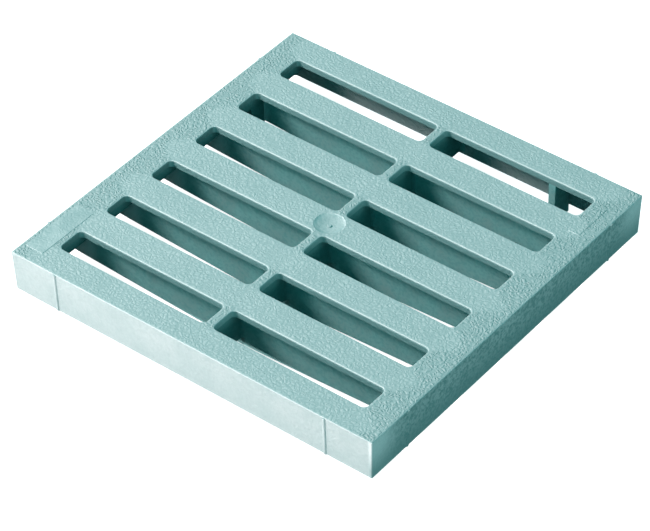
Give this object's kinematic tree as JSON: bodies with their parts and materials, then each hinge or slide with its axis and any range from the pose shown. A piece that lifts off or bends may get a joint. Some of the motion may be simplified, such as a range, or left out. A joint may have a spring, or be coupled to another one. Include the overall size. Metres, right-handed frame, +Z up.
{
  "type": "drain grate",
  "caption": "Square slotted plastic drain grate with a deep skirt, bellied ribs under the bars and centring beads on its sides, for a gully or catch basin.",
  "frame": {"origin": "under the middle of the grate, level with its lowest point, the feet of the lugs", "axes": "+Z up out of the tread face, X along the slots, Y across the slots with +Y towards the side that carries the back lug"},
  "size_m": [0.3014, 0.3014, 0.0382],
  "materials": {
    "textured_plastic": "moulded polypropylene with a fine leather grain",
    "smooth_plastic": "smooth satin moulded polypropylene",
    "pad_plastic": "smooth satin moulded polypropylene",
    "inner_plastic": "plain moulded polypropylene with draw marks"
  },
  "bodies": {
    "root": {"belly_rib_1": "inner_plastic", "belly_rib_2": "inner_plastic", "belly_rib_3": "inner_plastic", "belly_rib_4": "inner_plastic", "belly_rib_5": "inner_plastic", "border_back": "textured_plastic", "border_front": "textured_plastic", "border_left": "textured_plastic", "border_right": "textured_plastic", "centring_beads_back": "smooth_plastic", "centring_beads_front": "smooth_plastic", "centring_beads_left": "smooth_plastic", "centring_beads_right": "smooth_plastic", "end_lip_left": "inner_plastic", "end_lip_right": "inner_plastic", "lug_back": "inner_plastic", "lug_left": "inner_plastic", "marking_pad_left": "pad_plastic", "marking_pad_right": "textured_plastic", "skirt_back": "smooth_plastic", "skirt_front": "smooth_plastic", "skirt_left": "smooth_plastic", "skirt_right": "smooth_plastic", "spine_link_1": "textured_plastic", "spine_link_2": "textured_plastic", "spine_link_3": "textured_plastic", "spine_link_4": "textured_plastic", "spine_link_5": "textured_plastic", "spine_link_6": "textured_plastic", "spine_web_1": "inner_plastic", "spine_web_2": "inner_plastic", "spine_web_3": "inner_plastic", "spine_web_4": "inner_plastic", "spine_web_5": "inner_plastic", "spine_web_6": "inner_plastic", "tread_bar_1": "textured_plastic", "tread_bar_2": "textured_plastic", "tread_bar_3": "textured_plastic", "tread_bar_4": "textured_plastic", "tread_bar_5": "textured_plastic"}
  },
  "joints": []
}
